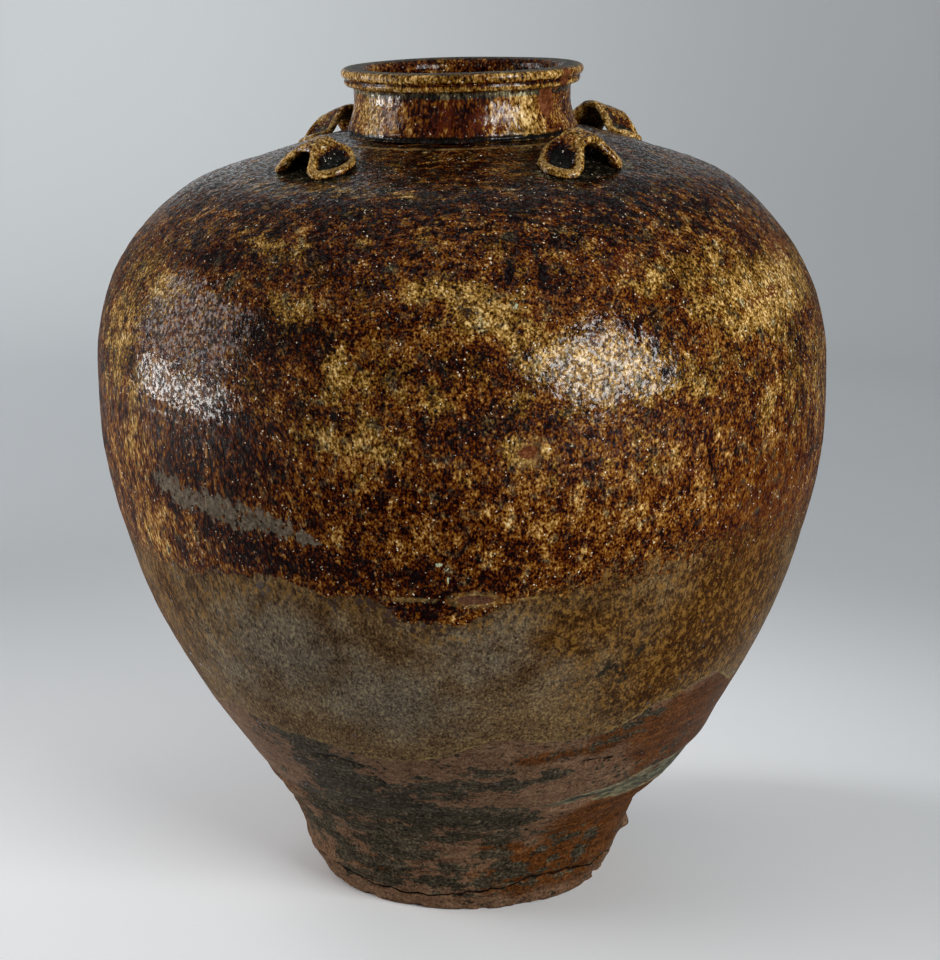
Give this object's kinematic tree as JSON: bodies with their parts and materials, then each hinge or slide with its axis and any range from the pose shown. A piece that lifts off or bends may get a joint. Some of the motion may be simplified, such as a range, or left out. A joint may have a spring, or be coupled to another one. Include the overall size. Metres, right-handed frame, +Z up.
{
  "type": "storage jar",
  "caption": "Stoneware storage jar: broad-shouldered thrown body on a narrow foot, short neck with rolled rim, and strap lugs on the shoulder for tying down a cover.",
  "frame": {"origin": "on the ground under the middle of the jar", "axes": "+Z up along the jar's axis, -Y the side that the picture shows, +X to the picture's right"},
  "size_m": [0.366, 0.366, 0.4171],
  "materials": {
    "bare_clay": "matt unglazed reddish-brown stoneware with dark kiln stains",
    "thin_glaze": "thin satin grey-olive and brown iron glaze",
    "amber_glaze": "glossy amber to dark brown iron glaze, finely mottled"
  },
  "bodies": {
    "root": {"base_slab": "bare_clay", "foot_wall": "bare_clay", "lower_wall": "thin_glaze", "shoulder_wall": "amber_glaze", "neck_and_rim": "amber_glaze", "lug_front_left": "amber_glaze", "lug_front_right": "amber_glaze", "lug_rear_left": "amber_glaze", "lug_rear_right": "amber_glaze"}
  },
  "joints": []
}
